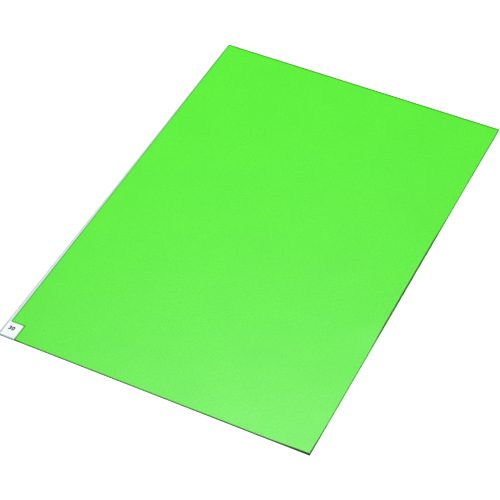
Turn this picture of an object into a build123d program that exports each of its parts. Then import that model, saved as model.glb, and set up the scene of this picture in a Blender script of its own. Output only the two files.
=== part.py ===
from build123d import *
import os

# A peel-off adhesive mat for a cleanroom doorway, lying flat on the floor.
# Millimetres. X runs along the short side, Y along the long side, +Z is up.
# The origin is on the floor, under the middle of the stack of sheets.
# The numbered corner is the one at low X and low Y.

# Stack of adhesive film sheets
sheet_count = 30
mat_width = 600.0
mat_length = 900.0
sheet_thickness = 0.06

# Number tab, one in the corner of every sheet
tab_width = 32.0
tab_length = 35.0
tab_overhang = 5.0
tab_gap = 0.01
tab_inner_radius = 2.0
tab_outer_radius = 1.5

# Release liner under the stack, cut a little wide and short, and laid slightly askew
liner_extra_width = 3.0
liner_short_length = 4.0
liner_thickness = 0.12
liner_shift = -2.7
liner_turn = -0.33

# Sizes and places worked out from the sizes above
liner_width = mat_width + liner_extra_width
liner_length = mat_length - liner_short_length
tab_thickness = sheet_thickness - tab_gap
left_edge = -mat_width / 2
near_edge = -mat_length / 2
tab_left = left_edge - tab_overhang
tab_right = tab_left + tab_width
notch_width = tab_right - left_edge


def sheet_top(number):
    """Height of the top face of a sheet. Sheet 1 lies on the liner."""
    return liner_thickness + number * sheet_thickness


def release_liner():
    """The paper under the stack, whose left edge shows past the sheets."""
    with BuildPart() as liner:
        with BuildSketch(Plane.XY):
            with Locations((liner_shift, 0)):
                Rectangle(liner_width, liner_length, rotation=liner_turn)
        extrude(amount=liner_thickness)
    return liner.part


def film_sheet(number):
    """One film with its adhesive coat, notched for its number tab."""
    with BuildPart() as film:
        with BuildSketch(Plane.XY.offset(sheet_top(number) - sheet_thickness)) as outline:
            Rectangle(mat_width, mat_length)
            with Locations((left_edge, near_edge)):
                Rectangle(notch_width, tab_length, align=(Align.MIN, Align.MIN), mode=Mode.SUBTRACT)
            notch_corner = outline.vertices().sort_by_distance((tab_right, near_edge + tab_length, 0))[0]
            fillet(notch_corner, radius=tab_inner_radius)
        extrude(amount=sheet_thickness)
    return film.part


def number_tabs(numbers):
    """The dry tabs of these sheets, each level with the top of its sheet."""
    with BuildPart() as tabs:
        for number in numbers:
            with BuildSketch(Plane.XY.offset(sheet_top(number) - tab_thickness)) as outline:
                with Locations((tab_left, near_edge)):
                    Rectangle(tab_width, tab_length, align=(Align.MIN, Align.MIN))
                inner = outline.vertices().group_by(Axis.X)[-1].sort_by(Axis.Y)[-1]
                fillet(inner, radius=tab_inner_radius)
                fillet(outline.vertices().group_by(Axis.X)[0], radius=tab_outer_radius)
            extrude(amount=tab_thickness)
    return tabs.part


def save(piece, name):
    """Label a finished piece and write it as its own file."""
    piece.label = name
    export_step(piece, f"parts/{name}.step")


os.makedirs("parts", exist_ok=True)

save(release_liner(), "release_liner")
for number in range(1, sheet_count + 1):
    save(film_sheet(number), f"sheet_{number:02d}")
save(number_tabs([sheet_count]), "number_tab_top")
save(number_tabs(range(1, sheet_count)), "number_tabs_below")
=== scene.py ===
import math
import random

import bmesh
import bpy
from mathutils import Matrix, Vector


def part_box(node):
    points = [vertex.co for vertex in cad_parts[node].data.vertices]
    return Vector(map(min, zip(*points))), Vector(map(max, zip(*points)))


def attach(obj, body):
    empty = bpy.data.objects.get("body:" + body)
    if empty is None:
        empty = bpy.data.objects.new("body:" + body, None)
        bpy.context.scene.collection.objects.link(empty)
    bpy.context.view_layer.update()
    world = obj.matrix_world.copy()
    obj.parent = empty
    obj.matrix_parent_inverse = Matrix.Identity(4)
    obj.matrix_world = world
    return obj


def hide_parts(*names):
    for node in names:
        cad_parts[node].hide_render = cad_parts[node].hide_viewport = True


# A stack of thirty tacky green films on a pale liner, a white number tab in one corner of each.
# Metres, in the frame of the part: X along the short side, Y along the long side, Z up.

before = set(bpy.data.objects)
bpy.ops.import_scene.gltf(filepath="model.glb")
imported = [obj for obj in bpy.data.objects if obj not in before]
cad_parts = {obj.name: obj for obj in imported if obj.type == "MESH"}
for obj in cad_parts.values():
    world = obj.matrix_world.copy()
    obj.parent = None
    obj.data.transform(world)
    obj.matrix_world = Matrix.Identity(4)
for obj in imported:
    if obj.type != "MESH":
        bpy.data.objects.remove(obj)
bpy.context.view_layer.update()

MM = 0.001

# Places and sizes read from the frame
film_count = sum(1 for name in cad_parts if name.startswith("sheet_"))
film_low, film_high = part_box("sheet_01")
tab_low, tab_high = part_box("number_tab_top")
liner_low, liner_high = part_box("release_liner")
sheet_step = film_high.z - film_low.z
tab_thickness = tab_high.z - tab_low.z
mat_width = film_high.x - film_low.x
mat_length = film_high.y - film_low.y

# Gap between films, play of their cut edges, and corner radii
FILM_GAP = 0.002 * MM
EDGE_PLAY = 0.12 * MM
NOTCH_RADIUS = 2 * MM
TAB_RADIUS = 1.5 * MM
INNER_RADIUS = 0.2 * MM

# Nets that the sheets are made of
NET_STEP = 25 * MM
FINE_STEP = 10 * MM
FINE_BAND = 80 * MM
ARC_STEPS = 5
ROUND_TO = 6
STEP_SLACK = 0.01
SHARP_ANGLE = math.radians(30)

# Bands of other colour along the edges. The lips and the tab lip are darker: painted shade of the cut
# edges. The burr takes the cut sides' colour
FILM_BURR = 0.3 * MM
FILM_LIP = 2.2 * MM
FILM_NEAR_LIP = 1.5 * MM
FILM_FAR_LIP = 4.2 * MM
NOTCH_LIP = 3.0 * MM
FILM_RIM = 2.5 * MM
TAB_LIP = 2.7 * MM

# Lift of the near right corner and of the right edge off the floor
CORNER_LIFT = 0.2 * MM
CORNER_REACH = 200 * MM
CORNER_EASE = 1.3
EDGE_LIFT = 2.0 * MM
EDGE_REACH = 75 * MM
EDGE_HALF_LENGTH = 190 * MM
EDGE_CENTRE = -16 * MM
EDGE_STEEPNESS = 2.4

# Lean of the cut sides, whose upper films stop short of the lower ones
FRONT_LEAN = 0.6 * MM
LEFT_LEAN = 0.6 * MM
BENT_LEAN = 0.72 * MM
CORNER_LEAN = 1.5 * MM
CORNER_SIDE_LEAN = 0.75 * MM
CORNER_FRONT_REACH = 80 * MM
CORNER_SIDE_REACH = 50 * MM

# Liner under the stack, cut a little wide and short
LINER_EXTRA_WIDTH = 3 * MM
LINER_SHORT_LENGTH = 4 * MM
LINER_WIDTH = mat_width + LINER_EXTRA_WIDTH
LINER_LENGTH = mat_length - LINER_SHORT_LENGTH
LINER_TURN = math.radians(-0.33)
LINER_LIP = 1.3 * MM
LINER_LIFT_SHARE = 0.97

# Number on the top tab
DIGIT_HEIGHT = 9.0 * MM
NUMBER_CENTRE = Vector((-289.6 * MM, -427.9 * MM))
NUMBER_WEIGHT = 0.046
NUMBER_SPACING = 1.08
INK_THICKNESS = 0.02 * MM

# Detail of the surfaces: scales in features a metre, heights in metres
CLOUD_SCALE = 9
GRAIN_SCALE = 420
RIPPLE_SCALE, RIPPLE_HEIGHT = 22, 0.2 * MM
PEEL_SCALE, PEEL_HEIGHT = 700, 0.035 * MM
LAYER_SCALES = (12, 12, 14000)
NICK_SCALE, NICK_HEIGHT = 350, 0.03 * MM
FIBRE_CLOUD_SCALE = 60
FIBRE_SCALE, FIBRE_HEIGHT = 900, 0.01 * MM
INK_SCALE = 1500

# Greatest share of the deeper colour in the films' grain and in the cut sides' nicks
GRAIN_SHARE = 0.8
NICK_SHARE = 0.35

# Gloss of the surfaces. A pair is the range that a noise field spreads over
FILM_IOR = 1.53
FILM_ROUGHNESS = (0.38, 0.42)
EDGE_GLOSS = 0.15
LIP_ROUGHNESS = 0.45
EDGE_ROUGHNESS = 0.5
TAB_ROUGHNESS = (0.45, 0.55)
PAPER_ROUGHNESS = (0.4, 0.5)
INK_ROUGHNESS = 0.6

# Places where painted shade darkens the cut edges most: centre, reach along X and along Y, strength
NEAR_EDGE_SHADE = ((film_high.x, film_low.y), (300 * MM, 50 * MM), 0.35)
CORNER_SHADE = ((film_high.x, film_low.y), (90 * MM, 80 * MM), 1.0)
BENT_EDGE_SHADE = ((film_high.x, EDGE_CENTRE), (30 * MM, 330 * MM), 0.75)
FAR_EDGE_SHADE = ((0, film_high.y), (900 * MM, 15 * MM), 0.45)
TAB_CORNER_SHADE = ((tab_high.x + 5 * MM, film_low.y), (18 * MM, 10 * MM), 0.9)
SHADED_PLACES = (NEAR_EDGE_SHADE, CORNER_SHADE, BENT_EDGE_SHADE, FAR_EDGE_SHADE, TAB_CORNER_SHADE)


# Material helpers

def srgb(r, g, b):
    """A colour as it looks on a screen, 0 to 255, turned into linear values."""
    def linear(v):
        v = v / 255
        return v / 12.92 if v <= 0.04045 else ((v + 0.055) / 1.055) ** 2.4
    return (linear(r), linear(g), linear(b), 1.0)


# Faces of the films: light, middle and deep colour
FILM_COLOURS = (srgb(90, 234, 49), srgb(82, 228, 41), srgb(70, 213, 32))
RIM_COLOURS = (srgb(98, 230, 64), srgb(93, 226, 60), srgb(86, 215, 54))

# Lips and cut sides: light and dark colour, then the colour of their painted shade
# The lips' darker green is painted shade of the pressed cut edge
LIP_COLOURS = (srgb(74, 188, 32), srgb(66, 174, 28), srgb(44, 128, 26))
# The cut sides' dark green is partly their own deeper green and partly painted shade
EDGE_COLOURS = (srgb(112, 218, 84), srgb(78, 176, 58), srgb(14, 72, 8))
# The tabs' grey sides are painted shade on white stock
TAB_EDGE_COLOURS = (srgb(170, 192, 194), srgb(130, 156, 158), srgb(130, 156, 158))

# Tabs, liner and ink: the two colours that each varies between
TAB_COLOURS = (srgb(235, 241, 239), srgb(229, 236, 235))
# The tab lips' grey is painted shade along the tabs' free edges
TAB_LIP_COLOURS = (srgb(166, 188, 191), srgb(155, 178, 182))
PAPER_COLOURS = (srgb(204, 220, 224), srgb(197, 214, 220))
# The liner edge's grey is painted shade along the liner's cut edge
PAPER_EDGE_COLOURS = (srgb(150, 157, 178), srgb(140, 148, 168))
INK_COLOURS = (srgb(12, 17, 42), srgb(32, 40, 70))

# White and black of the studio
WHITE = (1, 1, 1, 1)
BLACK = (0, 0, 0, 1)

# Range that a noise field mostly stays in, and the colour sockets of a node that mixes
NOISE_LOW, NOISE_HIGH = 0.3, 0.7
MIX_INPUTS = (6, 7)
MIX_OUTPUT = 2


def new_material(name):
    """A material with its nodes, links, shader and object coordinates."""
    material = bpy.data.materials.new(name)
    material.use_nodes = True
    nodes, links = material.node_tree.nodes, material.node_tree.links
    where = nodes.new("ShaderNodeTexCoord").outputs["Object"]
    return material, nodes, links, nodes["Principled BSDF"], where


def noise(nodes, links, where, scale, detail=3.0):
    """A noise field. Its scale is in features a metre."""
    node = nodes.new("ShaderNodeTexNoise")
    node.inputs["Scale"].default_value = scale
    node.inputs["Detail"].default_value = detail
    links.new(where, node.inputs["Vector"])
    return node.outputs["Fac"]


def stretched(nodes, links, where, scales):
    """Coordinates scaled along each axis, for a grain that runs one way."""
    node = nodes.new("ShaderNodeMapping")
    node.inputs["Scale"].default_value = scales
    links.new(where, node.inputs["Vector"])
    return node.outputs["Vector"]


def spread(nodes, links, value, low, high):
    """Maps a noise field onto the range low to high."""
    node = nodes.new("ShaderNodeMapRange")
    node.inputs["From Min"].default_value = NOISE_LOW
    node.inputs["From Max"].default_value = NOISE_HIGH
    node.inputs["To Min"].default_value = low
    node.inputs["To Max"].default_value = high
    links.new(value, node.inputs["Value"])
    return node.outputs["Result"]


def mix_colours(nodes, links, amount, first, second):
    """A colour between two, by an amount that is a field."""
    node = nodes.new("ShaderNodeMix")
    node.data_type = "RGBA"
    for socket, colour in zip(MIX_INPUTS, (first, second)):
        if isinstance(colour, tuple):
            node.inputs[socket].default_value = colour
        else:
            links.new(colour, node.inputs[socket])
    links.new(amount, node.inputs[0])
    return node.outputs[MIX_OUTPUT]


def add_bumps(nodes, links, shader, bumps):
    """Bumps one on another. Each is a field and its height in metres."""
    normal = None
    for field, height in bumps:
        node = nodes.new("ShaderNodeBump")
        node.inputs["Strength"].default_value = 1.0
        node.inputs["Distance"].default_value = height
        links.new(field, node.inputs["Height"])
        if normal is not None:
            links.new(normal, node.inputs["Normal"])
        normal = node.outputs["Normal"]
    links.new(normal, shader.inputs["Normal"])


def near_place(nodes, links, where, centre, reach, strength):
    """A field that falls from its strength at one place to 0 at its reach along X and along Y."""
    scales = (1 / reach[0], 1 / reach[1], 0)
    place = stretched(nodes, links, where, scales)
    place.node.inputs["Location"].default_value = (-centre[0] * scales[0], -centre[1] * scales[1], 0)
    away = nodes.new("ShaderNodeVectorMath")
    away.operation = "LENGTH"
    links.new(place, away.inputs[0])
    fall = nodes.new("ShaderNodeMapRange")
    fall.interpolation_type = "SMOOTHERSTEP"
    fall.inputs["From Min"].default_value = 1.0
    fall.inputs["From Max"].default_value = 0.0
    fall.inputs["To Max"].default_value = strength
    links.new(away.outputs["Value"], fall.inputs["Value"])
    return fall.outputs["Result"]


# Materials

def film_face(name, light, middle, deep):
    """Green film with a tacky coat: faint clouds, a soft sheen, fine orange peel."""
    material, nodes, links, shader, where = new_material(name)
    clouds = noise(nodes, links, where, CLOUD_SCALE, detail=4)
    grain = noise(nodes, links, where, GRAIN_SCALE)
    tint = mix_colours(nodes, links, spread(nodes, links, clouds, 0.0, 1.0), light, middle)
    tint = mix_colours(nodes, links, spread(nodes, links, grain, 0.0, GRAIN_SHARE), tint, deep)
    links.new(tint, shader.inputs["Base Color"])
    links.new(spread(nodes, links, clouds, *FILM_ROUGHNESS), shader.inputs["Roughness"])
    shader.inputs["IOR"].default_value = FILM_IOR
    ripple = noise(nodes, links, where, RIPPLE_SCALE, detail=2)
    peel = noise(nodes, links, where, PEEL_SCALE, detail=2)
    add_bumps(nodes, links, shader, ((ripple, RIPPLE_HEIGHT), (peel, PEEL_HEIGHT)))
    return material


def layered_edge(name, light, dark, painted_shade, roughness):
    """The cut side or lip of a stack: layers that differ a little, darkened by painted shade towards the
    shaded places.
    """
    material, nodes, links, shader, where = new_material(name)
    layers = noise(nodes, links, stretched(nodes, links, where, LAYER_SCALES), 1, detail=1)
    nicks = noise(nodes, links, where, NICK_SCALE)
    tint = mix_colours(nodes, links, spread(nodes, links, layers, 0.0, 1.0), light, dark)
    tint = mix_colours(nodes, links, spread(nodes, links, nicks, 0.0, NICK_SHARE), tint, dark)
    # Painted shade, strongest at the near right corner and along the front, the bent right edge, the far
    # edge and by the tab
    for centre, reach, strength in SHADED_PLACES:
        near = near_place(nodes, links, where, centre, reach, strength)
        tint = mix_colours(nodes, links, near, tint, painted_shade)
    links.new(tint, shader.inputs["Base Color"])
    shader.inputs["Roughness"].default_value = roughness
    shader.inputs["Specular IOR Level"].default_value = EDGE_GLOSS
    add_bumps(nodes, links, shader, ((nicks, NICK_HEIGHT),))
    return material


def smooth_stock(name, light, shade, roughness):
    """Pale smooth sheet stock with faint fibre clouds. Its roughness is a range."""
    material, nodes, links, shader, where = new_material(name)
    clouds = noise(nodes, links, where, FIBRE_CLOUD_SCALE, detail=4)
    fibres = noise(nodes, links, where, FIBRE_SCALE, detail=2)
    tint = mix_colours(nodes, links, spread(nodes, links, clouds, 0.0, 1.0), light, shade)
    links.new(tint, shader.inputs["Base Color"])
    links.new(spread(nodes, links, fibres, *roughness), shader.inputs["Roughness"])
    add_bumps(nodes, links, shader, ((fibres, FIBRE_HEIGHT),))
    return material


def printed_ink():
    """Dark printed ink, a little uneven where it took to the tab."""
    material, nodes, links, shader, where = new_material("tab_ink")
    blotches = noise(nodes, links, where, INK_SCALE)
    tint = mix_colours(nodes, links, spread(nodes, links, blotches, 0.0, 1.0), *INK_COLOURS)
    links.new(tint, shader.inputs["Base Color"])
    shader.inputs["Roughness"].default_value = INK_ROUGHNESS
    return material


green_film = film_face("green_film", *FILM_COLOURS)
film_rim = film_face("film_rim", *RIM_COLOURS)
# The lips, cut sides, tab sides, tab lips and liner edge below carry painted shade in their colours
film_lip = layered_edge("film_lip", *LIP_COLOURS, LIP_ROUGHNESS)
film_edge = layered_edge("film_edge", *EDGE_COLOURS, EDGE_ROUGHNESS)
white_tab = smooth_stock("white_tab", *TAB_COLOURS, TAB_ROUGHNESS)
tab_lip = smooth_stock("tab_lip", *TAB_LIP_COLOURS, TAB_ROUGHNESS)
tab_edge = layered_edge("tab_edge", *TAB_EDGE_COLOURS, EDGE_ROUGHNESS)
release_paper = smooth_stock("release_paper", *PAPER_COLOURS, PAPER_ROUGHNESS)
liner_edge = smooth_stock("liner_edge", *PAPER_EDGE_COLOURS, TAB_ROUGHNESS)
tab_ink = printed_ink()


# Shapes

# Kinds of cell, each the place of its material in a piece's list of materials
SIDE, FACE, LIP, RIM = range(4)


def smooth_step(t):
    """Runs from 0 to 1 with level ends."""
    t = min(max(t, 0.0), 1.0)
    return t * t * (3 - 2 * t)


def bent_share(y):
    """How much of the right edge's lift and lean a place along it has: all in the middle stretch."""
    return smooth_step(EDGE_STEEPNESS * (1 - abs(y - EDGE_CENTRE) / EDGE_HALF_LENGTH))


def lift(x, y):
    """How far the mat stands off the floor at a place: one corner and one edge, else nothing."""
    corner = math.hypot(x - film_high.x, y - film_low.y)
    at_corner = CORNER_LIFT * smooth_step(1 - corner / CORNER_REACH) ** CORNER_EASE
    across = smooth_step(1 - (film_high.x - x) / EDGE_REACH)
    return at_corner + EDGE_LIFT * bent_share(y) * across


def net_lines(low, high, extra, fine_low, fine_high):
    """Places of a net's lines along one side, closer together in the fine band."""
    lines = {round(v, ROUND_TO) for v in extra} | {round(low, ROUND_TO), round(high, ROUND_TO)}
    at = math.ceil(low / FINE_STEP) * FINE_STEP
    while at < high - FINE_STEP / 2:
        fine = fine_low <= at <= fine_high
        wide = abs(at / NET_STEP - round(at / NET_STEP)) < STEP_SLACK
        if (fine or wide) and min(abs(at - v) for v in lines) > FINE_STEP / 2:
            lines.add(round(at, ROUND_TO))
        at += FINE_STEP / 2
    return sorted(lines)


def arc(centre, radius, start, end):
    """Points along a quarter turn, both ends included. Angles in degrees."""
    points = []
    for step in range(ARC_STEPS + 1):
        angle = math.radians(start + (end - start) * step / ARC_STEPS)
        points.append((centre[0] + radius * math.cos(angle), centre[1] + radius * math.sin(angle)))
    return points


def slab(name, net, cells, thickness, materials, kinds):
    """A thin closed piece: a net of top corners, the same net a thickness below, and sides all round.

    The first material is the sides'. Each cell's kind is the place of its material in the list."""
    count = len(net)
    below = [(x, y, z - thickness) for x, y, z in net]
    border = {}
    for cell in cells:
        for a, b in zip(cell, cell[1:] + cell[:1]):
            if border.pop((b, a), None) is None:
                border[(a, b)] = True
    faces = list(cells)
    faces += [tuple(i + count for i in reversed(cell)) for cell in cells]
    faces += [(a, a + count, b + count, b) for a, b in border]
    mesh = bpy.data.meshes.new(name)
    mesh.from_pydata(list(net) + below, [], faces)
    for material in materials:
        mesh.materials.append(material)
    for polygon, kind in zip(mesh.polygons, list(kinds) + list(kinds)):
        polygon.material_index = kind
    mesh.shade_smooth()
    mesh.set_sharp_from_angle(angle=SHARP_ANGLE)
    obj = bpy.data.objects.new(name, mesh)
    bpy.context.scene.collection.objects.link(obj)
    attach(obj, "root")
    return obj


def edge_distance(x, y):
    """How far a place on a film is from the film's outline."""
    outside = min(x - film_low.x, film_high.x - x, y - film_low.y, film_high.y - y)
    return min(outside, max(x - tab_high.x, y - tab_high.y))


def cell_kind(x, y):
    """A film cell's kind: burr like the cut side, lip darkened with painted shade, pale rim inside the
    lip or open face.
    """
    if edge_distance(x, y) < FILM_BURR:
        return SIDE
    from_left, from_back = x - film_low.x, film_high.y - y
    near = min(y - film_low.y, film_high.x - x)
    from_notch = max(x - tab_high.x, y - tab_high.y)
    at_lip = near < FILM_NEAR_LIP or from_left < FILM_LIP or from_back < FILM_FAR_LIP
    if at_lip or from_notch < NOTCH_LIP:
        return LIP
    return RIM if near < FILM_NEAR_LIP + FILM_RIM else FACE


def front_lean(x):
    """How far the top film's front edge stops short of the bottom film's."""
    return FRONT_LEAN + CORNER_LEAN * smooth_step(1 - (film_high.x - x) / CORNER_FRONT_REACH)


def right_lean(y):
    """How far the top film's right edge stops short of the bottom film's."""
    at_corner = smooth_step(1 - (y - film_low.y) / CORNER_SIDE_REACH)
    return BENT_LEAN * bent_share(y) + CORNER_SIDE_LEAN * at_corner


def film_net():
    """Lines, cells and cell kinds that every film shares, with the rounded notch for the number tab."""
    notch_x, notch_y = tab_high.x, tab_high.y
    round_x, round_y = notch_x - NOTCH_RADIUS, notch_y - NOTCH_RADIUS
    extra_x = [round_x, notch_x, notch_x + FILM_BURR, notch_x + NOTCH_LIP]
    extra_y = [round_y, notch_y, notch_y + FILM_BURR, notch_y + NOTCH_LIP]
    rim_lines = (FILM_BURR, FILM_NEAR_LIP, FILM_NEAR_LIP + FILM_RIM)
    extra_x += [film_low.x + inset for inset in (FILM_BURR, FILM_LIP)]
    extra_x += [film_high.x - inset for inset in rim_lines]
    extra_y += [film_low.y + inset for inset in rim_lines]
    extra_y += [film_high.y - inset for inset in (FILM_BURR, FILM_FAR_LIP)]
    columns = net_lines(film_low.x, film_high.x, extra_x, film_high.x - FINE_BAND, film_high.x)
    rows = net_lines(film_low.y, film_high.y, extra_y, film_low.y, film_low.y + FINE_BAND)
    places = []
    index = {}
    for x in columns:
        for y in rows:
            in_notch = x < notch_x - FILM_GAP and y < notch_y - FILM_GAP
            if not in_notch:
                index[(x, y)] = len(places)
                places.append((x, y))
    cells = []
    kinds = []
    for x0, x1 in zip(columns, columns[1:]):
        for y0, y1 in zip(rows, rows[1:]):
            corners = ((x0, y0), (x1, y0), (x1, y1), (x0, y1))
            if all(corner in index for corner in corners):
                cells.append(tuple(index[corner] for corner in corners))
                kinds.append(cell_kind((x0 + x1) / 2, (y0 + y1) / 2))
    hub = index[(round(notch_x, ROUND_TO), round(notch_y, ROUND_TO))]
    bend = [index[(round(notch_x, ROUND_TO), round(round_y, ROUND_TO))]]
    for place in arc((round_x, round_y), NOTCH_RADIUS, 0, 90)[1:-1]:
        bend.append(len(places))
        places.append(place)
    bend.append(index[(round(round_x, ROUND_TO), round(notch_y, ROUND_TO))])
    cells += [(hub, b, a) for a, b in zip(bend, bend[1:])]
    kinds += [LIP] * (len(bend) - 1)
    return places, cells, kinds


def film(number, places, cells, kinds):
    """One film, its outline a hair off its neighbours' and drawn in by the lean of the stack's sides."""
    play = random.Random(number)
    left, right, front, back = (play.uniform(-EDGE_PLAY, EDGE_PLAY) for side in range(4))
    height = (number - 1) / (film_count - 1)
    top = film_high.z + (number - 1) * sheet_step
    band = FILM_LIP + FILM_RIM + FILM_GAP
    net = []
    for x, y in places:
        z = top + lift(x, y)
        shift_x = shift_y = 0
        if x <= film_low.x + band:
            shift_x = left + height * LEFT_LEAN
        elif x >= film_high.x - band:
            shift_x = right - height * right_lean(y)
        if y <= film_low.y + band:
            shift_y = front + height * front_lean(x)
        elif y >= film_high.y - band:
            shift_y = back
        x += shift_x
        y += shift_y
        net.append((x, y, z))
    name = f"film_{number:02d}"
    materials = (film_edge, green_film, film_lip, film_rim)
    obj = slab(name, net, cells, sheet_step - FILM_GAP, materials, kinds)
    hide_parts(f"sheet_{number:02d}")
    return obj


def liner():
    """The pale sheet under the stack, cut a little wide and laid a little askew."""
    middle = (liner_low + liner_high) / 2
    half_x, half_y = LINER_WIDTH / 2, LINER_LENGTH / 2
    lips_x = (LINER_LIP - half_x, half_x - LINER_LIP)
    lips_y = (LINER_LIP - half_y, half_y - LINER_LIP)
    columns = net_lines(-half_x, half_x, lips_x, half_x - FINE_BAND, half_x)
    rows = net_lines(-half_y, half_y, lips_y, -half_y, FINE_BAND - half_y)
    turn = Matrix.Rotation(LINER_TURN, 2)
    net = []
    for x in columns:
        for y in rows:
            place = turn @ Vector((x, y))
            at_x, at_y = place.x + middle.x, place.y + middle.y
            net.append((at_x, at_y, liner_high.z + lift(at_x, at_y) * LINER_LIFT_SHARE))
    cells = []
    kinds = []
    for i in range(len(columns) - 1):
        for j in range(len(rows) - 1):
            # The outer strip gets the liner edge's colour, painted shade along the cut edge
            at_lip = i in (0, len(columns) - 2) or j in (0, len(rows) - 2)
            kinds.append(SIDE if at_lip else FACE)
            a = i * len(rows) + j
            cells.append((a, a + len(rows), a + len(rows) + 1, a + 1))
    obj = slab("liner", net, cells, liner_high.z - liner_low.z, (liner_edge, release_paper), kinds)
    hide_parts("release_liner")
    return obj


def tab_outline(left, front, inset):
    """A tab's outline, or one inset from it. Its two free sides are a hair off its neighbours'."""
    low_x, low_y = tab_low.x + left + inset, tab_low.y + front + inset
    high_x, high_y = tab_high.x - inset, tab_high.y - inset
    inner = max(NOTCH_RADIUS - inset, INNER_RADIUS)
    outer = max(TAB_RADIUS - inset, INNER_RADIUS)
    outline = [(high_x, low_y)]
    outline += arc((high_x - inner, high_y - inner), inner, 0, 90)
    outline += arc((low_x + outer, high_y - outer), outer, 90, 180)
    outline += arc((low_x + outer, low_y + outer), outer, 180, 270)
    return outline


def tabs(name, numbers, node):
    """The dry white tabs of these sheets, each level with the top of its sheet."""
    net = []
    cells = []
    kinds = []
    play = random.Random(film_count)
    for number in numbers:
        left, front = (play.uniform(-EDGE_PLAY, EDGE_PLAY) for side in range(2))
        top = film_high.z + (number - 1) * sheet_step
        outline = tab_outline(left, front, 0)
        inset = tab_outline(left, front, TAB_LIP)
        start, count = len(net), len(outline)
        net += [(x, y, top) for x, y in outline + inset]
        cells.append(tuple(range(start + count, start + 2 * count)))
        kinds.append(FACE)
        for i in range(count):
            j = (i + 1) % count
            cells.append((start + i, start + j, start + count + j, start + count + i))
            middle_x = (outline[i][0] + outline[j][0]) / 2
            middle_y = (outline[i][1] + outline[j][1]) / 2
            free = middle_x < tab_low.x + TAB_RADIUS or middle_y < tab_low.y + TAB_RADIUS
            # The free sides get the tab lip, painted shade along the tab's edge
            kinds.append(LIP if free else FACE)
    obj = slab(name, net, cells, tab_thickness, (tab_edge, white_tab, tab_lip), kinds)
    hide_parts(node)
    return obj


def sheet_number(text):
    """A plain number in printed ink on the top tab."""
    curve = bpy.data.curves.new("sheet_number", type="FONT")
    curve.body = text
    curve.offset = NUMBER_WEIGHT
    curve.space_character = NUMBER_SPACING
    source = bpy.data.objects.new("number_source", curve)
    bpy.context.scene.collection.objects.link(source)
    bpy.context.view_layer.update()
    evaluated = source.evaluated_get(bpy.context.evaluated_depsgraph_get())
    mesh = bpy.data.meshes.new_from_object(evaluated)
    bpy.data.objects.remove(source)
    low_x, high_x = min(v.co.x for v in mesh.vertices), max(v.co.x for v in mesh.vertices)
    low_y, high_y = min(v.co.y for v in mesh.vertices), max(v.co.y for v in mesh.vertices)
    scale = DIGIT_HEIGHT / (high_y - low_y)
    shape = bmesh.new()
    shape.from_mesh(mesh)
    for vertex in shape.verts:
        vertex.co.x = (vertex.co.x - (low_x + high_x) / 2) * scale + NUMBER_CENTRE.x
        vertex.co.y = (vertex.co.y - (low_y + high_y) / 2) * scale + NUMBER_CENTRE.y
        vertex.co.z = tab_high.z
    bmesh.ops.remove_doubles(shape, verts=shape.verts, dist=FILM_GAP)
    made = bmesh.ops.extrude_face_region(shape, geom=shape.faces[:])
    raised = [item for item in made["geom"] if isinstance(item, bmesh.types.BMVert)]
    bmesh.ops.translate(shape, verts=raised, vec=(0, 0, INK_THICKNESS))
    bmesh.ops.recalc_face_normals(shape, faces=shape.faces)
    shape.to_mesh(mesh)
    shape.free()
    mesh.materials.clear()
    mesh.materials.append(tab_ink)
    obj = bpy.data.objects.new("sheet_number", mesh)
    bpy.context.scene.collection.objects.link(obj)
    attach(obj, "root")
    return obj


liner_piece = liner()

shared_places, shared_cells, shared_kinds = film_net()
for number in range(1, film_count + 1):
    piece = film(number, shared_places, shared_cells, shared_kinds)

tabs("number_tabs_lower", range(1, film_count), "number_tabs_below")
tabs("number_tab_upper", [film_count], "number_tab_top")
sheet_number(str(film_count))


# Floor, light and camera

FLOOR_HALF = 6.0
FLOOR_DROP = 0.03 * MM
FLOOR_ALBEDO = 0.9
FLOOR_ROUGHNESS = 0.9
FLOOR_SEEN_EXTRA = 0.5
FLOOR_LIT_REACH = 0.75
WORLD_LEVEL = 0.14
KEY_POWER = 8.0
KEY_PLACE = (-1.7, -0.3, 2.5)
KEY_SIZE = 1.2
SHEEN_POWER = 91.0
SHEEN_PLACE = (-0.22, 0.58, 2.9)
SHEEN_SIZE = 1.2
CAMERA_PLACE = (0.9642, -2.0471, 2.2699)
CAMERA_FORWARD = (-0.304155, 0.626177, -0.717912)
CAMERA_ROLL = math.radians(0.26)
CAMERA_FOCAL_PIXELS = 1709.6
SENSOR_WIDTH = 36.0
IMAGE_WIDTH = 500


def times(nodes, links, field, amount):
    """A field times a number or another field."""
    product = nodes.new("ShaderNodeMath")
    product.operation = "MULTIPLY"
    links.new(field, product.inputs[0])
    if isinstance(amount, float):
        product.inputs[1].default_value = amount
    else:
        links.new(amount, product.inputs[1])
    return product.outputs[0]


def mix_shaders(nodes, links, amount, first, second):
    """A shader between two, by an amount that is a field."""
    both = nodes.new("ShaderNodeMixShader")
    links.new(amount, both.inputs[0])
    links.new(first.outputs[0], both.inputs[1])
    links.new(second.outputs[0], both.inputs[2])
    return both


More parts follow.
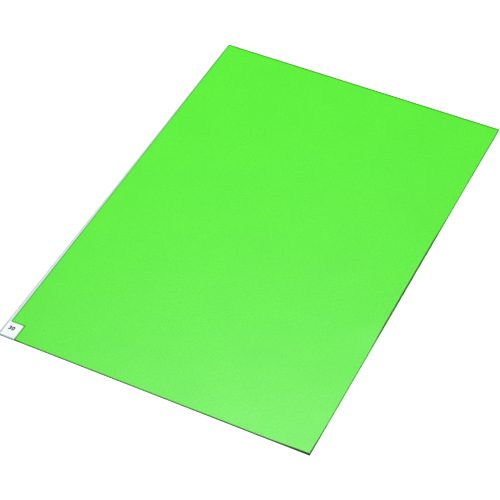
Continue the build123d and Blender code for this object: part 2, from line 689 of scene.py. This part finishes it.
def white_floor():
    """A plain white floor that keeps the mat's shadow."""
    mesh = bpy.data.meshes.new("floor")
    square = ((-1, -1), (1, -1), (1, 1), (-1, 1))
    corners = [(x * FLOOR_HALF, y * FLOOR_HALF, -FLOOR_DROP) for x, y in square]
    mesh.from_pydata(corners, [], [(0, 1, 2, 3)])
    obj = bpy.data.objects.new("floor", mesh)
    bpy.context.scene.collection.objects.link(obj)
    material, nodes, links, shader, where = new_material("floor_white")
    shader.inputs["Base Color"].default_value = (FLOOR_ALBEDO, FLOOR_ALBEDO, FLOOR_ALBEDO, 1)
    shader.inputs["Roughness"].default_value = FLOOR_ROUGHNESS
    seen = nodes.new("ShaderNodeLightPath").outputs["Is Camera Ray"]
    white = nodes.new("ShaderNodeBsdfDiffuse")
    white.inputs["Color"].default_value = WHITE
    black = nodes.new("ShaderNodeBsdfDiffuse")
    black.inputs["Color"].default_value = BLACK
    extra = mix_shaders(nodes, links, times(nodes, links, seen, FLOOR_SEEN_EXTRA), black, white)
    lit = nodes.new("ShaderNodeAddShader")
    links.new(shader.outputs[0], lit.inputs[0])
    links.new(extra.outputs[0], lit.inputs[1])
    away = nodes.new("ShaderNodeVectorMath")
    away.operation = "LENGTH"
    links.new(where, away.inputs[0])
    far = nodes.new("ShaderNodeMapRange")
    far.inputs["From Min"].default_value = FLOOR_LIT_REACH
    far.inputs["From Max"].default_value = FLOOR_LIT_REACH * 2
    links.new(away.outputs["Value"], far.inputs["Value"])
    plain = nodes.new("ShaderNodeEmission")
    both = mix_shaders(nodes, links, times(nodes, links, seen, far.outputs["Result"]), lit, plain)
    links.new(both.outputs[0], nodes["Material Output"].inputs["Surface"])
    mesh.materials.append(material)


def white_world():
    """An even surround, pure white where the camera sees it."""
    world = bpy.data.worlds.new("studio")
    bpy.context.scene.world = world
    world.use_nodes = True
    nodes, links = world.node_tree.nodes, world.node_tree.links
    around = nodes["Background"]
    around.inputs["Color"].default_value = WHITE
    around.inputs["Strength"].default_value = WORLD_LEVEL
    seen = nodes.new("ShaderNodeBackground")
    seen.inputs["Color"].default_value = WHITE
    seen.inputs["Strength"].default_value = 1.0
    camera_ray = nodes.new("ShaderNodeLightPath").outputs["Is Camera Ray"]
    both = mix_shaders(nodes, links, camera_ray, around, seen)
    links.new(both.outputs[0], nodes["World Output"].inputs["Surface"])


def lamp(name, place, size, power):
    """A soft square studio lamp that points at the middle of the mat."""
    light = bpy.data.lights.new(name, "AREA")
    light.shape = "SQUARE"
    light.size = size
    light.energy = power
    obj = bpy.data.objects.new(name, light)
    obj.location = place
    obj.rotation_mode = "QUATERNION"
    obj.rotation_quaternion = (-Vector(place)).to_track_quat("-Z", "Y")
    bpy.context.scene.collection.objects.link(obj)


def camera():
    """The photograph's viewpoint, solved from the mat's four edges."""
    data = bpy.data.cameras.new("camera")
    data.sensor_width = SENSOR_WIDTH
    data.lens = CAMERA_FOCAL_PIXELS * SENSOR_WIDTH / IMAGE_WIDTH
    obj = bpy.data.objects.new("camera", data)
    obj.location = CAMERA_PLACE
    obj.rotation_mode = "QUATERNION"
    roll = Matrix.Rotation(CAMERA_ROLL, 3, "Z").to_quaternion()
    obj.rotation_quaternion = Vector(CAMERA_FORWARD).to_track_quat("-Z", "Y") @ roll
    bpy.context.scene.collection.objects.link(obj)
    bpy.context.scene.camera = obj


white_floor()
white_world()
lamp("key_lamp", KEY_PLACE, KEY_SIZE, KEY_POWER)
lamp("sheen_lamp", SHEEN_PLACE, SHEEN_SIZE, SHEEN_POWER)
camera()
bpy.context.scene.view_settings.view_transform = "Standard"
